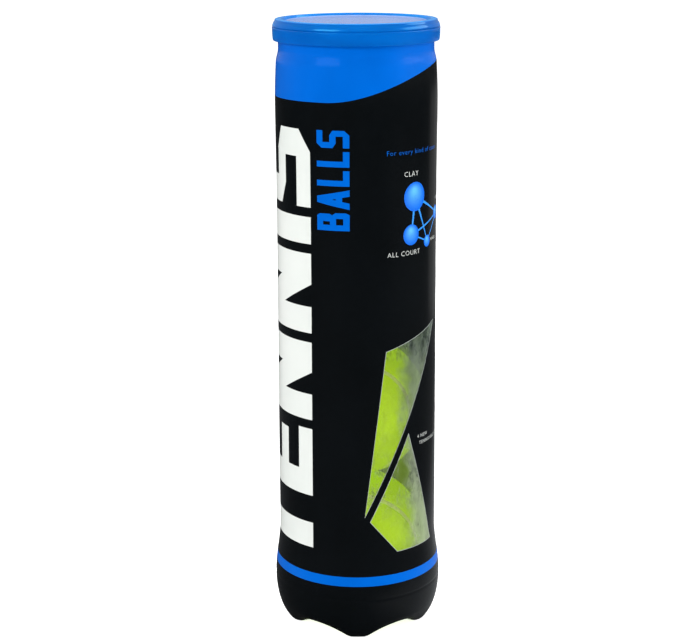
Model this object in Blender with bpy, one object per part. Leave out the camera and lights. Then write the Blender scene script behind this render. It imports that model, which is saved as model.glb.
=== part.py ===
"""Tennis ball can: a clear bottle with a five-footed base, a printed shrink sleeve, an aluminium
easy-open end with a ring-pull tab, a press-fit lid, and four pressurised balls stacked inside.

Metres, +Z up. The origin is on the ground under the can's axis, and one foot points along -Y.
"""

import math

import bmesh
import bpy
from mathutils import Euler, Vector

MM = 0.001
GAP = 0.3 * MM  # between pieces that touch on the real can
SEGMENTS = 40  # round the turned pieces

# Outer skin of the can, sleeve included
NECK_R, NECK_Z = 35.22 * MM, 274 * MM
SHOULDER_R, SHOULDER_Z = 36.35 * MM, 267.5 * MM
UPPER_R, UPPER_Z = 36.93 * MM, 250 * MM
WAIST_R, WAIST_Z = 36.77 * MM, 208 * MM
LOWER_R, LOWER_Z = 37.25 * MM, 48.5 * MM
BULGE_R, BULGE_Z = 39.6 * MM, 22.5 * MM

# Five-footed base
FEET = 5
PAD_OUTER_R, PAD_INNER_R = 29.2 * MM, 23.6 * MM
PAD_HALF_ANGLE = math.radians(7.5)
FOOT_CORNER = 2.15  # exponent of the rounded corner from the bulge down to the pad
VALLEY_CORNER = 5.0  # the same, in the valleys between the feet
DOME_Z = 4.75 * MM  # the middle of the base, above the ground
DOME_R = 10 * MM  # where the feet have run out into the dome
FLANK = 0.95  # how a foot's sides rise from the pad to the valley: under 1 is steeper at first

# Walls, measured inwards from the outer skin
SLEEVE_WALL = 0.25 * MM
BOTTLE_DEPTH = SLEEVE_WALL + GAP
BOTTLE_WALL = 0.55 * MM
SLEEVE_TOP_Z = 279.8 * MM
SLEEVE_END_R = 31.3 * MM  # its cut edge, under the feet

# Rolled seam at the mouth
SEAM_R = 36.2 * MM
SEAM_TOP_Z = 285.7 * MM
SEAM_SKIRT_Z = 282.4 * MM
MOUTH_R = 33.6 * MM
METAL = 0.35 * MM
CHUCK_WALL = 0.25 * MM
FLANGE_Z, FLANGE_THICK = 283.9 * MM, 0.5 * MM
FLANGE_R = SEAM_R - METAL - GAP
COMPOUND_THICK = 0.35 * MM

# Tear-off end panel, its rivet and tab
PANEL_Z = 281.2 * MM  # top of the flat middle
PANEL_METAL = 0.3 * MM
PANEL_R = MOUTH_R - GAP
GROOVE_OUTER_R, GROOVE_INNER_R, GROOVE_DEPTH = 32.6 * MM, 31.0 * MM, 1.0 * MM
PANEL_STEP_R, PANEL_STEP = 27 * MM, 0.5 * MM
RIVET_Y, RIVET_R, RIVET_HEAD_R = 22.5 * MM, 1.5 * MM, 2.6 * MM
TAB_METAL = 0.9 * MM
TAB_NOSE_Y, TAB_TAIL_Y = 28.5 * MM, 2.5 * MM
TAB_HALF_WIDTH = 8.5 * MM
TAB_HINGE_Y = TAB_NOSE_Y - 0.2 * MM
TAB_LOW_Z = PANEL_Z + PANEL_STEP + GAP
TONGUE_METAL, TONGUE_HALF_WIDTH = 0.4 * MM, 3.0 * MM

# Press-fit lid
LID_TOP_Z, LID_BOTTOM_Z = 287 * MM, 277.5 * MM
LID_R, LID_HEM_R = 37.82 * MM, 37.5 * MM
LID_RING_R = 36.2 * MM
LID_RECESS_R, LID_RECESS = 33.2 * MM, 1.2 * MM
LID_WALL = 0.85 * MM
LID_BEAD_R, LID_BEAD_Z = 36.4 * MM, 281.5 * MM

# Balls
BALL_COUNT = 4
BALL_R = 33.3 * MM
FELT_R = 30.6 * MM  # back of the felt
CORE_R, CORE_INNER_R = 29.7 * MM, 26.1 * MM
SEAM_HALF_WIDTH = 1.1 * MM
SEAM_OUTER_R = 32.9 * MM
SEAM_SHARE = 0.27  # of the radius, in the seam's third harmonic: it sets how narrow the waist is
BALL_TURNS = [(116, 56, 106), (24, 176, -131), (110, -30, 80), (15, 75, 150)]  # degrees, from the bottom up
FIRST_BALL_Z = DOME_Z + BOTTLE_WALL + GAP + BALL_R


def clear_scene():
    for obj in list(bpy.data.objects):
        bpy.data.objects.remove(obj)


def material(name, colour, roughness, metallic=0.0, alpha=1.0):
    made = bpy.data.materials.new(name)
    made.use_nodes = True
    shader = made.node_tree.nodes["Principled BSDF"]
    shader.inputs["Base Color"].default_value = (*colour, 1)
    shader.inputs["Roughness"].default_value = roughness
    shader.inputs["Metallic"].default_value = metallic
    shader.inputs["Alpha"].default_value = alpha
    made.diffuse_color = (*colour, alpha)
    return made


def add_object(name, mesh, surface, parent=None):
    if not mesh.materials:
        mesh.materials.append(surface)
    obj = bpy.data.objects.new(name, mesh)
    bpy.context.scene.collection.objects.link(obj)
    obj.parent = parent
    return obj


def add_empty(name, location, turn=(0, 0, 0)):
    empty = bpy.data.objects.new(name, None)
    empty.location = location
    empty.rotation_euler = Euler([math.radians(angle) for angle in turn])
    bpy.context.scene.collection.objects.link(empty)
    return empty


def mesh_from(name, bm):
    bmesh.ops.recalc_face_normals(bm, faces=bm.faces)
    mesh = bpy.data.meshes.new(name)
    bm.to_mesh(mesh)
    bm.free()
    mesh.shade_smooth()
    mesh.set_sharp_from_angle(angle=math.radians(35))
    return mesh


def even_angles(segments):
    return [2 * math.pi * i / segments - math.pi / 2 for i in range(segments)]


def foot_angles():
    """Angles round the can that keep each foot's pad flat, with the first foot at -90 degrees."""
    pad = math.degrees(PAD_HALF_ANGLE)
    offsets = [-36, -27, -17, -pad, 0, pad, 17, 27]
    return [math.radians(360 / FEET * foot + offset - 90) for foot in range(FEET) for offset in offsets]


def turned_mesh(name, outline, angles=None):
    """A closed outline carried round the Z axis. outline(angle) gives its (radius, z) points in
    order; a point on the axis is one vertex. A plain list stands for the same outline all round."""
    angles = angles or even_angles(SEGMENTS)
    segments = len(angles)
    outline_at = outline if callable(outline) else lambda angle: outline
    outlines = [outline_at(angle) for angle in angles]
    bm = bmesh.new()
    rings = []
    for j in range(len(outlines[0])):
        if outlines[0][j][0] == 0:
            rings.append([bm.verts.new((0, 0, outlines[0][j][1]))] * segments)
            continue
        ring = []
        for angle, points in zip(angles, outlines):
            radius, z = points[j]
            ring.append(bm.verts.new((radius * math.cos(angle), radius * math.sin(angle), z)))
        rings.append(ring)
    for ring, after in zip(rings, rings[1:] + rings[:1]):
        for i in range(segments):
            k = (i + 1) % segments
            corners = list(dict.fromkeys([ring[i], ring[k], after[k], after[i]]))
            if len(corners) > 2:
                bm.faces.new(corners)
    return mesh_from(name, bm)


# The can's outer skin


def smooth(t):
    t = min(max(t, 0.0), 1.0)
    return t * t * (3 - 2 * t)


def wall_radius(z):
    """Radius of the outer skin above the widest part of the base."""
    if z >= NECK_Z:
        return NECK_R
    if z >= SHOULDER_Z:
        return NECK_R + (SHOULDER_R - NECK_R) * smooth((NECK_Z - z) / (NECK_Z - SHOULDER_Z))
    if z >= UPPER_Z:
        t = (SHOULDER_Z - z) / (SHOULDER_Z - UPPER_Z)
        return SHOULDER_R + (UPPER_R - SHOULDER_R) * math.sin(math.pi / 2 * t)
    if z >= WAIST_Z:
        return UPPER_R + (WAIST_R - UPPER_R) * smooth((UPPER_Z - z) / (UPPER_Z - WAIST_Z))
    if z >= LOWER_Z:
        return WAIST_R + (LOWER_R - WAIST_R) * smooth((WAIST_Z - z) / (WAIST_Z - LOWER_Z))
    return LOWER_R + (BULGE_R - LOWER_R) * smooth((LOWER_Z - z) / (LOWER_Z - BULGE_Z))


def rounded(share, corner):
    """Height above the bottom, as a share of the full height, of a superellipse quarter."""
    return 1 - (1 - min(share, 1.0) ** corner) ** (1 / corner)


def foot_z(radius, valley):
    if radius >= PAD_OUTER_R:
        share = (radius - PAD_OUTER_R) / (BULGE_R - PAD_OUTER_R)
        return BULGE_Z * rounded(share, FOOT_CORNER)
    if radius >= PAD_INNER_R:
        return 0.0
    return valley * smooth((PAD_INNER_R - radius) / (PAD_INNER_R - DOME_R))


def base_z(radius, angle):
    """Height of the outer skin under the widest part, where a foot is at -90 degrees."""
    spacing = 2 * math.pi / FEET
    from_foot = abs((angle + math.pi / 2 + spacing / 2) % spacing - spacing / 2)
    valley = DOME_Z + (BULGE_Z - DOME_Z) * rounded(radius / BULGE_R, VALLEY_CORNER)
    foot = foot_z(radius, valley)
    across = max(0.0, from_foot - PAD_HALF_ANGLE) / (spacing / 2 - PAD_HALF_ANGLE)
    rise = math.sin(math.pi / 2 * min(across, 1.0)) ** FLANK
    return foot + rise * max(0.0, valley - foot)


def base_radius(step):
    """Radius at a step from 0, at the widest part, through 1, at the pads' outer edge, to 2."""
    if step <= 1:
        return PAD_OUTER_R + (BULGE_R - PAD_OUTER_R) * math.cos(math.pi / 2 * step) ** (2 / FOOT_CORNER)
    return PAD_OUTER_R * (2 - step)


def skin_point(place, angle):
    """The outer skin. A place of 0 or more is a height above the widest part, in metres, and one
    below 0 is minus a step of base_radius."""
    if place >= 0:
        z = BULGE_Z + place
        radius = wall_radius(z)
    else:
        radius = base_radius(-place)
        z = base_z(radius, angle)
    return Vector((radius * math.cos(angle), radius * math.sin(angle), z))


def skin_offset(place, angle, depth):
    """(radius, z) of the skin's point moved inwards by depth, square to the skin."""
    here = skin_point(place, angle)
    along = 1e-4 if place >= 0 else 1e-3
    down = skin_point(place - along, angle) - skin_point(place + along, angle)
    if place == 0:
        down = skin_point(-1e-6, angle) - skin_point(along, angle)
    turn = 1e-3
    round_can = skin_point(place, angle + turn) - skin_point(place, angle - turn)
    normal = down.cross(round_can).normalized()
    outward = here - Vector((0, 0, 2 * BULGE_Z))
    if normal.dot(outward) < 0:
        normal = -normal
    moved = here - normal * depth
    radial = Vector((math.cos(angle), math.sin(angle), 0))
    return max(moved.dot(radial), 1e-5), moved.z


def place_of_height(z):
    return z - BULGE_Z


def place_of_radius(radius):
    """Where the base skin has this radius, outside the pads or inside them."""
    if radius < PAD_OUTER_R:
        return -(2 - radius / PAD_OUTER_R)
    share = (radius - PAD_OUTER_R) / (BULGE_R - PAD_OUTER_R)
    return -math.acos(share ** (FOOT_CORNER / 2)) / (math.pi / 2)


WALL_HEIGHTS = [
    NECK_Z,
    *(NECK_Z + (SHOULDER_Z - NECK_Z) * share for share in (0.35, 0.65)),
    SHOULDER_Z,
    0.45 * SHOULDER_Z + 0.55 * UPPER_Z,
    UPPER_Z,
    WAIST_Z,
    *(LOWER_Z + (BULGE_Z - LOWER_Z) * share for share in (0, 0.25, 0.5, 0.75)),
]
CORNER_STEPS = [0.0, 0.14, 0.28, 0.42, 0.56, 0.7]


def can_places():
    """Places down the skin that the sleeve and the bottle share."""
    return [place_of_height(z) for z in WALL_HEIGHTS] + [-step for step in CORNER_STEPS]


def make_sleeve(surface):
    top = place_of_height(SLEEVE_TOP_Z)
    places = [top, *can_places(), place_of_radius(SLEEVE_END_R)]

    def outline(angle):
        outside = [skin_offset(place, angle, 0) for place in places]
        inside = [skin_offset(place, angle, SLEEVE_WALL) for place in places]
        return outside + inside[::-1]

    return add_object("shrink_sleeve", turned_mesh("shrink_sleeve", outline, foot_angles()), surface)


def make_bottle(surface):
    under_sleeve = [*can_places(), place_of_radius(SLEEVE_END_R - 0.2 * MM)]
    bare_radii = [29.8 * MM, PAD_OUTER_R, PAD_INNER_R, 19 * MM, 14 * MM, DOME_R, 5 * MM]
    bare = [place_of_radius(radius) for radius in bare_radii]
    inner_depth = BOTTLE_DEPTH + BOTTLE_WALL
    inner_neck = NECK_R - inner_depth
    dome_inside = DOME_Z + BOTTLE_WALL

    def outline(angle):
        neck = [
            (inner_neck, FLANGE_Z + FLANGE_THICK),
            (FLANGE_R, FLANGE_Z + FLANGE_THICK),
            (FLANGE_R, FLANGE_Z),
            (NECK_R - BOTTLE_DEPTH, FLANGE_Z),
        ]
        outside = [skin_offset(place, angle, BOTTLE_DEPTH) for place in under_sleeve]
        outside += [skin_offset(place, angle, 0) for place in bare]
        inside = [skin_offset(place, angle, BOTTLE_WALL) for place in bare]
        inside_wall = [skin_offset(place, angle, inner_depth) for place in under_sleeve[:-1]]
        return [*neck, *outside, (0, DOME_Z), (0, dome_inside), *inside[::-1], *inside_wall[::-1]]

    return add_object("pet_bottle", turned_mesh("pet_bottle", outline, foot_angles()), surface)


# Metal end


def make_seam_ring(surface):
    top = SEAM_TOP_Z
    outline = [
        (MOUTH_R, PANEL_Z),
        (MOUTH_R, top - METAL),
        (MOUTH_R + METAL, top),
        (SEAM_R - METAL, top),
        (SEAM_R, top - METAL),
        (SEAM_R, SEAM_SKIRT_Z),
        (SEAM_R - METAL, SEAM_SKIRT_Z),
        (SEAM_R - METAL, top - METAL),
        (MOUTH_R + CHUCK_WALL, top - METAL),
        (MOUTH_R + CHUCK_WALL, PANEL_Z),
    ]
    return add_object("end_seam_ring", turned_mesh("end_seam_ring", outline), surface)


def make_compound(surface):
    low = FLANGE_Z + FLANGE_THICK + GAP
    inner, outer = MOUTH_R + CHUCK_WALL + GAP, SEAM_R - METAL - GAP
    outline = [(inner, low + COMPOUND_THICK), (outer, low + COMPOUND_THICK), (outer, low), (inner, low)]
    return add_object("sealing_compound", turned_mesh("sealing_compound", outline), surface)


def make_end_panel(surface):
    """The score line runs round its rim. The groove stiffens it, and the middle is raised."""
    upper = [
        (PANEL_R, PANEL_Z),
        (GROOVE_OUTER_R, PANEL_Z),
        (GROOVE_OUTER_R - 0.3 * MM, PANEL_Z - GROOVE_DEPTH),
        (GROOVE_INNER_R, PANEL_Z - GROOVE_DEPTH),
        (GROOVE_INNER_R - 0.3 * MM, PANEL_Z),
        (PANEL_STEP_R + 0.6 * MM, PANEL_Z),
        (PANEL_STEP_R, PANEL_Z + PANEL_STEP),
    ]
    shifts = [0, 0.2 * MM, 0.1 * MM, -0.1 * MM, -0.2 * MM, 0, -0.1 * MM]
    lower = [(radius + shift, z - PANEL_METAL) for (radius, z), shift in zip(upper, shifts)]
    middle = PANEL_Z + PANEL_STEP
    outline = [*upper, (0, middle), (0, middle - PANEL_METAL), *lower[::-1]]
    return add_object("end_panel", turned_mesh("end_panel", outline), surface)


def make_rivet(surface, panel):
    head_low = TAB_LOW_Z + TONGUE_METAL + GAP
    outline = [
        (0, head_low + 0.4 * MM),
        (RIVET_HEAD_R - 0.5 * MM, head_low + 0.4 * MM),
        (RIVET_HEAD_R, head_low),
        (RIVET_R, head_low),
        (RIVET_R, TAB_LOW_Z),
        (0, TAB_LOW_Z),
    ]
    rivet = add_object("tab_rivet", turned_mesh("tab_rivet", outline, even_angles(16)), surface, panel)
    rivet.location = (0, RIVET_Y, 0)


def oval(centre_y, half_width, half_length, count, power=2.5):
    """Points of a superellipse in the tab's plane, anticlockwise."""
    points = []
    for i in range(count):
        turn = 2 * math.pi * i / count
        x = half_width * math.copysign(abs(math.cos(turn)) ** (2 / power), math.cos(turn))
        y = half_length * math.copysign(abs(math.sin(turn)) ** (2 / power), math.sin(turn))
        points.append((x, centre_y + y))
    return points


def plate(name, outline, low, high):
    bm = bmesh.new()
    face = bm.faces.new([bm.verts.new((x, y, low)) for x, y in outline])
    top = bmesh.ops.extrude_face_region(bm, geom=[face])
    moved = [item for item in top["geom"] if isinstance(item, bmesh.types.BMVert)]
    bmesh.ops.translate(bm, verts=moved, vec=(0, 0, high - low))
    return mesh_from(name, bm)


def cut(target, name, mesh):
    cutter = bpy.data.objects.new(name, mesh)
    bpy.context.scene.collection.objects.link(cutter)
    cutter.parent = target
    cutter.hide_render = True
    cutter.display_type = "WIRE"
    modifier = target.modifiers.new(name, "BOOLEAN")
    modifier.operation = "DIFFERENCE"
    modifier.object = cutter


def make_tab(surface, hinge):
    """The ring-pull tab. Its mesh is laid out from the hinge, at its nose, where it turns. The
    window leaves the tongue and the rivet behind on the panel when the tab rises."""
    middle = 0.5 * (TAB_NOSE_Y + TAB_TAIL_Y) - TAB_HINGE_Y
    half_length = 0.5 * (TAB_NOSE_Y - TAB_TAIL_Y)
    blank = plate("pull_tab", oval(middle, TAB_HALF_WIDTH, half_length, 32), 0, TAB_METAL)
    tab = add_object("pull_tab", blank, surface, hinge)
    below, above = -1 * MM, TAB_METAL + 1 * MM
    ring_y = TAB_TAIL_Y + 8.2 * MM - TAB_HINGE_Y
    cut(tab, "finger_hole_cutter", plate("finger_hole", oval(ring_y, 5.6 * MM, 5.4 * MM, 24), below, above))
    window_low, window_high = RIVET_Y - TONGUE_HALF_WIDTH - 2 * GAP, TAB_NOSE_Y - 1.1 * MM
    window = oval(0.5 * (window_low + window_high) - TAB_HINGE_Y, TONGUE_HALF_WIDTH + 2 * GAP,
                  0.5 * (window_high - window_low), 20, 4)
    cut(tab, "window_cutter", plate("window", window, below, above))


def make_tongue(surface, panel):
    """The strip of the tab's metal that the rivet holds down, bent where the tab turns."""
    low, high = RIVET_Y - TONGUE_HALF_WIDTH, TAB_NOSE_Y - 1.1 * MM - 2 * GAP
    outline = oval(0.5 * (low + high), TONGUE_HALF_WIDTH, 0.5 * (high - low), 20, 4)
    strip = plate("tab_tongue", outline, TAB_LOW_Z, TAB_LOW_Z + TONGUE_METAL)
    tongue = add_object("tab_tongue", strip, surface, panel)
    hole_r = RIVET_R + GAP
    hole = plate("rivet_hole", oval(RIVET_Y, hole_r, hole_r, 16, 2), TAB_LOW_Z - 1 * MM, TAB_LOW_Z + 1 * MM)
    cut(tongue, "rivet_hole_cutter", hole)


def make_lid(surface):
    recess_z = LID_TOP_Z - LID_RECESS
    corner = 1.5 * MM
    # the rounded outer corner, from the ring down to the skirt
    turns = [math.radians(angle) for angle in (90, 60, 30, 0)]
    outer = [(LID_RING_R + (LID_R - LID_RING_R) * math.cos(a), LID_TOP_Z - corner + corner * math.sin(a))
             for a in turns]
    inner = [(LID_RING_R - 0.5 * LID_WALL + (LID_R - LID_RING_R - 0.5 * LID_WALL) * math.cos(a),
              LID_TOP_Z - corner - 0.2 * MM + (corner - LID_WALL + 0.2 * MM) * math.sin(a)) for a in turns]
    outline = [
        (0, recess_z),
        (LID_RECESS_R - LID_WALL, recess_z),
        (LID_RECESS_R, LID_TOP_Z - 0.3 * MM),
        (LID_RECESS_R + 0.3 * MM, LID_TOP_Z),
        *outer,
        (LID_R, LID_BEAD_Z),
        (LID_HEM_R, LID_BOTTOM_Z + 0.3 * MM),
        (LID_HEM_R - 0.2 * MM, LID_BOTTOM_Z),
        (LID_HEM_R - LID_WALL, LID_BOTTOM_Z),
        (LID_R - LID_WALL, LID_BEAD_Z - 0.9 * MM),
        (LID_BEAD_R, LID_BEAD_Z - 0.3 * MM),
        (LID_BEAD_R, LID_BEAD_Z + 0.1 * MM),
        (LID_R - LID_WALL, LID_BEAD_Z + 0.5 * MM),
        *inner[::-1],
        (LID_RECESS_R + 0.2 * MM, LID_TOP_Z - LID_WALL),
        (LID_RECESS_R - 0.5 * LID_WALL, recess_z - LID_WALL),
        (0, recess_z - LID_WALL),
    ]
    return add_object("snap_lid", turned_mesh("snap_lid", outline), surface)


# Balls


def seam_line(t):
    """The seam on a unit sphere."""
    wide, narrow = 1 - SEAM_SHARE, SEAM_SHARE
    return Vector((
        wide * math.cos(t) + narrow * math.cos(3 * t),
        wide * math.sin(t) - narrow * math.sin(3 * t),
        2 * math.sqrt(wide * narrow) * math.sin(2 * t),
    ))


def beside_seam(t, shift):
    """The seam's point moved sideways along the sphere by shift, as a share of the radius."""
    here = seam_line(t)
    heading = seam_line(t + 1e-3) - seam_line(t - 1e-3)
    side = here.cross(heading).normalized()
    return (here + side * shift).normalized()


def felt_mesh(name, first, side):
    """One felt panel, on side 1 or -1 of the seam. Each row is the great-circle arc between two
    mirrored points of the seam."""
    steps, columns = 16, 4
    shift = side * (SEAM_HALF_WIDTH + GAP) / BALL_R
    mirror = first * 2 + 2 * math.pi  # the two ends of a row have parameters that add up to this
    rows = []
    for i in range(steps + 1):
        t = first + math.pi * i / steps
        left, right = beside_seam(t, shift), beside_seam(mirror - t, shift)
        if i in (0, steps):
            rows.append([left])
            continue
        rows.append([left.slerp(right, j / columns) for j in range(columns + 1)])
    bm = bmesh.new()
    outer = [[bm.verts.new(point * BALL_R) for point in row] for row in rows]
    inner = [[bm.verts.new(point * FELT_R) for point in row] for row in rows]
    for grid in (outer, inner):
        for row, after in zip(grid, grid[1:]):
            for j in range(columns):
                corners = [row[min(j, len(row) - 1)], row[min(j + 1, len(row) - 1)],
                           after[min(j + 1, len(after) - 1)], after[min(j, len(after) - 1)]]
                bm.faces.new(list(dict.fromkeys(corners)))
    for edge in (0, -1):
        for i in range(steps):
            bm.faces.new([outer[i][edge], outer[i + 1][edge], inner[i + 1][edge], inner[i][edge]])
    return mesh_from(name, bm)


def seam_mesh(name):
    """The cement strip that fills the seam between the felt panels."""
    steps = 32
    shift = SEAM_HALF_WIDTH / BALL_R
    bm = bmesh.new()
    rings = []
    for i in range(steps):
        t = math.pi / 4 + 2 * math.pi * i / steps
        left, right = beside_seam(t, shift), beside_seam(t, -shift)
        rings.append([bm.verts.new(point) for point in (
            left * SEAM_OUTER_R, right * SEAM_OUTER_R, right * FELT_R, left * FELT_R)])
    for ring, after in zip(rings, rings[1:] + rings[:1]):
        for j in range(4):
            bm.faces.new([ring[j], ring[j - 1], after[j - 1], after[j]])
    return mesh_from(name, bm)


def core_half_mesh(name):
    """Half of the hollow rubber core: a hemispherical cup, rim down, just above its joint."""
    rings = 4
    low = 0.5 * GAP
    outline = []
    for radius, order in ((CORE_R, range(rings)), (CORE_INNER_R, range(rings - 1, -1, -1))):
        first = math.asin(low / radius)
        cap = (0, radius)
        side = [(radius * math.cos(first + (math.pi / 2 - first) * i / rings),
                 radius * math.sin(first + (math.pi / 2 - first) * i / rings)) for i in order]
        outline += side + [cap] if radius == CORE_R else [cap] + side
    return turned_mesh(name, outline, even_angles(16))


def make_balls(felt, cement, rubber):
    felt_a, felt_b = felt_mesh("felt_a", -math.pi / 4, 1), felt_mesh("felt_b", math.pi / 4, -1)
    seam = seam_mesh("felt_seam")
    core = core_half_mesh("core_half")
    for i in range(BALL_COUNT):
        centre = FIRST_BALL_Z + i * (2 * BALL_R + GAP)
        empty = add_empty(f"ball_{i + 1}", (0, 0, centre), BALL_TURNS[i])
        add_object(f"ball_{i + 1}_felt_a", felt_a, felt, empty)
        add_object(f"ball_{i + 1}_felt_b", felt_b, felt, empty)
        add_object(f"ball_{i + 1}_seam", seam, cement, empty)
        add_object(f"ball_{i + 1}_core_a", core, rubber, empty)
        other = add_object(f"ball_{i + 1}_core_b", core, rubber, empty)
        other.rotation_euler = (math.pi, 0, 0)


def main():
    clear_scene()
    make_bottle(material("clear_pet", (0.85, 0.88, 0.9), 0.12, alpha=0.3))
    make_sleeve(material("printed_film", (0.004, 0.006, 0.008), 0.22))
    aluminium = material("aluminium", (0.8, 0.81, 0.83), 0.3, 1.0)
    make_seam_ring(aluminium)
    make_compound(material("sealing_compound", (0.35, 0.36, 0.37), 0.6))
    panel = make_end_panel(aluminium)
    make_rivet(aluminium, panel)
    make_tongue(aluminium, panel)
    make_tab(aluminium, add_empty("pull_tab_hinge", (0, TAB_HINGE_Y, TAB_LOW_Z)))
    make_lid(material("blue_lid", (0.0, 0.17, 0.87), 0.25, alpha=0.9))
    make_balls(
        material("yellow_felt", (0.55, 0.75, 0.06), 0.95),
        material("seam_cement", (0.75, 0.78, 0.7), 0.7),
        material("core_rubber", (0.05, 0.05, 0.05), 0.7),
    )


main()
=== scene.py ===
"""The look of the tennis ball can: printed film, clear bottle, moulded lid, metal end and felt balls.

Lengths in the design constants are millimetres on the can, turned to metres where meshes are made.
Angles round the can are degrees from the front foot, growing towards +X.
"""

import math

import bmesh
import bpy
import numpy as np
from mathutils import Euler, Matrix, Vector, noise
from mathutils.geometry import delaunay_2d_cdt


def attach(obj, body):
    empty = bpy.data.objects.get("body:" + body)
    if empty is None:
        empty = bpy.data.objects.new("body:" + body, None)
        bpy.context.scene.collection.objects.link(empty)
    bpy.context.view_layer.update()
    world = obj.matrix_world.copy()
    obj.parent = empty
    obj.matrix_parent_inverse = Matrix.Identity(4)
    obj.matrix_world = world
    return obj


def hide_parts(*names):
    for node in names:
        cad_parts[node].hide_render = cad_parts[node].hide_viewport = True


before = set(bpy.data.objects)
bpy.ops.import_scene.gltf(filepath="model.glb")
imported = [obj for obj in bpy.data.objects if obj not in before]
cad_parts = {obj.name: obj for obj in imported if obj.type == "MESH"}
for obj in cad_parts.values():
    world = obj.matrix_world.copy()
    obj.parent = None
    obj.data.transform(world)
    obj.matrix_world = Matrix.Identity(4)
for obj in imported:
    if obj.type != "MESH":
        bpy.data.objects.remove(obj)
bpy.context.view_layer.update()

MM = 0.001

# The can's outer skin, as in the CAD: radius and height of each station
NECK_R, NECK_Z = 35.22, 274.0
SHOULDER_R, SHOULDER_Z = 36.35, 267.5
UPPER_R, UPPER_Z = 36.93, 250.0
WAIST_R, WAIST_Z = 36.77, 208.0
LOWER_R, LOWER_Z = 37.25, 48.5
BULGE_R, BULGE_Z = 39.6, 22.5
FEET = 5
PAD_OUTER_R, PAD_INNER_R = 29.2, 23.6
PAD_HALF_ANGLE = 7.5
FOOT_CORNER, VALLEY_CORNER = 2.15, 5.0
DOME_Z, DOME_R = 4.75, 10.0
FLANK = 0.95
CREASE_DEPTH, CREASE_WIDTH = 0.16, 0.55  # the mould's parting line, at the widest part
BASE_RUN = 25.0  # length of the film from the widest part to the pads' edge

SLEEVE_WALL, BOTTLE_DEPTH, BOTTLE_WALL = 0.25, 0.55, 0.55
SLEEVE_TOP_Z, SLEEVE_END_R = 279.8, 29.7
COLUMN, TALLEST = 3, 12  # farthest that the film's points stand apart, in degrees and in height
DARK_MARKS_RISE = 7.0  # how far above the place where two balls meet the dark marks are
RIVET_Y = 22.5

# Artwork, as (degrees, height)
SWOOSH_LOW, SWOOSH_RISE = 253.2, 16.4
SWOOSH_FROM, SWOOSH_TO = -22.0, 102.0
RING_LOW, RING_HIGH = 29.2, 33.7
WINDOW_LINE = 0.2
# Below: where the painted shade and glare on the right of each window begin, as an angle round the can
PAINTED_VEIL_EDGE_LOW, PAINTED_VEIL_EDGE_HIGH = 0.75, 0.6  # radians, low on the can and higher up
UPPER_WINDOW = [(20.9, 141.0), (5.3, 62.8), (71.3, 150.4)]
LOWER_WINDOW = [(39.3, 100.2), (9.2, 60.2), (29.8, 44.2), (66.6, 44.2)]
WORD_BASE, WORD_RISE = -33.8, 64.0
WORD_LOW, WORD_HIGH = 36.6, 241.0
SIDE_WORD_BASE, SIDE_WORD_RISE = -5.0, 23.4
SIDE_WORD_LOW, SIDE_WORD_HIGH = 197.0, 241.3
CHART_BALLS = [(45.0, 210.5, 6.6), (41.5, 193.5, 4.7), (59.5, 189.0, 2.7), (76.0, 200.5, 3.2)]
CHART_LINKS = [(0, 1), (0, 2), (1, 2), (2, 3), (0, 3), (1, 3)]
BALL_SHADES = 8
INKS = {  # light and dark tones, roughness, tint of the gloss, and whether the ink is shaded
    "black": ((7, 11, 14), (4, 7, 9)),
    "blue": ((0, 102, 210), (0, 96, 200), 0.24, (10, 130, 255)),
    "white": ((229, 232, 228), (221, 226, 221), 0.24),
    "pale": ((52, 150, 240), (44, 140, 234), 0.24),
    "ball": ((92, 184, 236), (0, 104, 226), 0.24, (255, 255, 255), True),
    "silver": ((188, 196, 190), (164, 172, 166), 0.3),
}
SMALL_PRINT = [  # ink, words, left end, foot and capital height
    ("blue", "For every kind of court", 20.6, 229.9, 2.3),
    ("white", "CLAY", 34.6, 219.9, 2.4),
    ("white", "ALL COURT", 21.5, 184.4, 2.3),
    ("white", "GRASS", 75.0, 206.5, 1.6),
    ("white", "HARD", 65.0, 188.4, 1.6),
    ("white", "4 NEW", 48.5, 96.9, 1.75),
    ("white", "TENNIS BALLS", 50.5, 93.6, 1.75),
]

# Balls
BALL_COUNT = 4
BALL_R, FELT_R = 33.3, 30.6
CORE_R, CORE_INNER_R = 29.7, 26.1
SEAM_HALF_WIDTH, SEAM_OUTER_R = 1.1, 32.85
SEAM_GAP = 0.12
SEAM_SHARE = 0.27
BALL_TURNS = [(116, 56, 106), (24, 176, -131), (110, -30, 80), (15, 75, 150)]
FIRST_BALL_Z = DOME_Z + BOTTLE_WALL + 0.3 + BALL_R
BALL_PITCH = 2 * BALL_R + 0.3

# Studio: places in metres, turns in degrees, sensor and lens in millimetres
FILL_LIGHT, MIRRORED_LIGHT, FLOOR_GLOW = 0.4, 0.35, 0.85
FLOOR_Z = -0.2 * MM
CAMERA_SENSOR, CAMERA_LENS = 36, 84.05
CAMERA_PLACE = (-0.0032, -0.743, 0.3397)
CAMERA_TURNS = [(75.44, "X"), (-0.2, "Z")]
LIT_POINT = Vector((0, 0, 0.17))
LIGHTS = [  # where it stands, its size, its power, and whether gloss mirrors it
    ("left_softbox", (-1.0, -0.85, 0.62), (1.0, 0.8), 6.5, False),
    ("right_softbox", (1.2, -0.45, 0.4), (1.0, 1.0), 9.0, False),
    ("top_softbox", (0.1, 0.25, 1.3), (1.1, 0.9), 8.0, False),
    ("left_card", (-0.88, -0.98, 0.8), (0.85, 0.4), 5.5, True),
    ("right_card", (1.25, 0.1, 0.8), (1.1, 0.5), 5.0, True),
    ("edge_card", (0.35, 0.5, 0.1), (0.45, 0.2), 0.05, True),
    ("top_card", (0.0, 0.6, 1.3), (1.6, 0.9), 5.0, True),
]


# Node trees


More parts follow.
